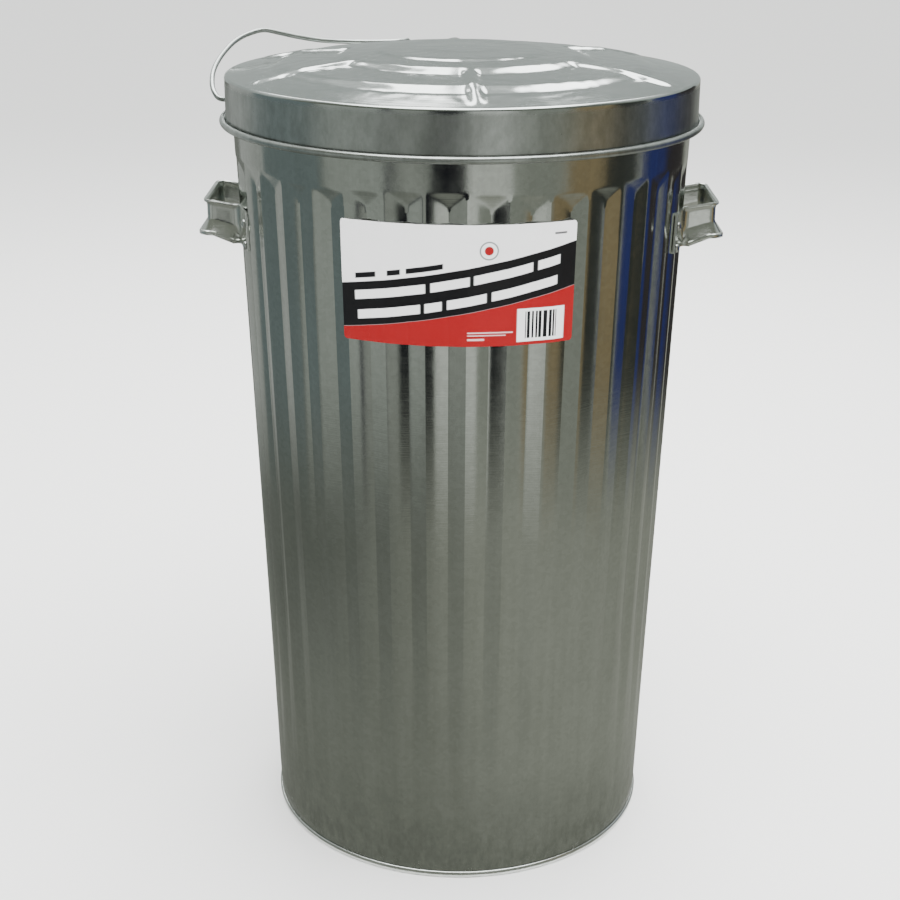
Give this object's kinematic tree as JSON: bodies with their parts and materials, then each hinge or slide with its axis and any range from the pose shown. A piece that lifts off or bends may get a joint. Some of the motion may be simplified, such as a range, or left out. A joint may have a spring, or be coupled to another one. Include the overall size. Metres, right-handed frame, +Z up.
{
  "type": "galvanized garbage can",
  "caption": "Tall tapered galvanized steel can with a fluted wall, riveted strap handles, a base hoop and a loose pressed lid with a hinged wire bail.",
  "frame": {"origin": "on the floor, on the axis of the can", "axes": "+Z up along the can's axis, -Y towards the label, +X through the right-hand handle"},
  "size_m": [0.489, 0.454, 0.7724],
  "materials": {
    "wall_steel": "bright galvanized sheet with upright streaks",
    "base_steel": "dull galvanized sheet",
    "lid_steel": "bright galvanized pressing",
    "handle_steel": "bright rolled strap",
    "rivet_steel": "bright",
    "wire_steel": "satin galvanized wire",
    "label_paper": "glossy print"
  },
  "bodies": {
    "can": {"body_wall": "wall_steel", "rim_wire": "wire_steel", "bottom_pan": "base_steel", "base_hoop": "base_steel", "label": "label_paper", "right_handle": "handle_steel", "left_handle": "handle_steel", "right_rivet_front_lower": "rivet_steel", "right_rivet_front_upper": "rivet_steel", "right_rivet_back_lower": "rivet_steel", "right_rivet_back_upper": "rivet_steel", "left_rivet_front_lower": "rivet_steel", "left_rivet_front_upper": "rivet_steel", "left_rivet_back_lower": "rivet_steel", "left_rivet_back_upper": "rivet_steel"},
    "lid": {"lid_shell": "lid_steel", "lid_edge_wire": "wire_steel", "bail_ear_left": "lid_steel", "bail_ear_back": "lid_steel"},
    "bail": {"lid_bail": "wire_steel"}
  },
  "joints": [
    {"name": "lid_lift", "type": "slide", "parent": "can", "child": "lid", "axis": [0, 0, 1], "range_m": [0, 0.35]},
    {"name": "bail_swing", "type": "hinge", "parent": "lid", "child": "bail", "pos_m": [-0.14008, 0.13063, 0.717], "axis": [0.682, 0.7314, 0], "range_deg": [-110, 0]}
  ]
}
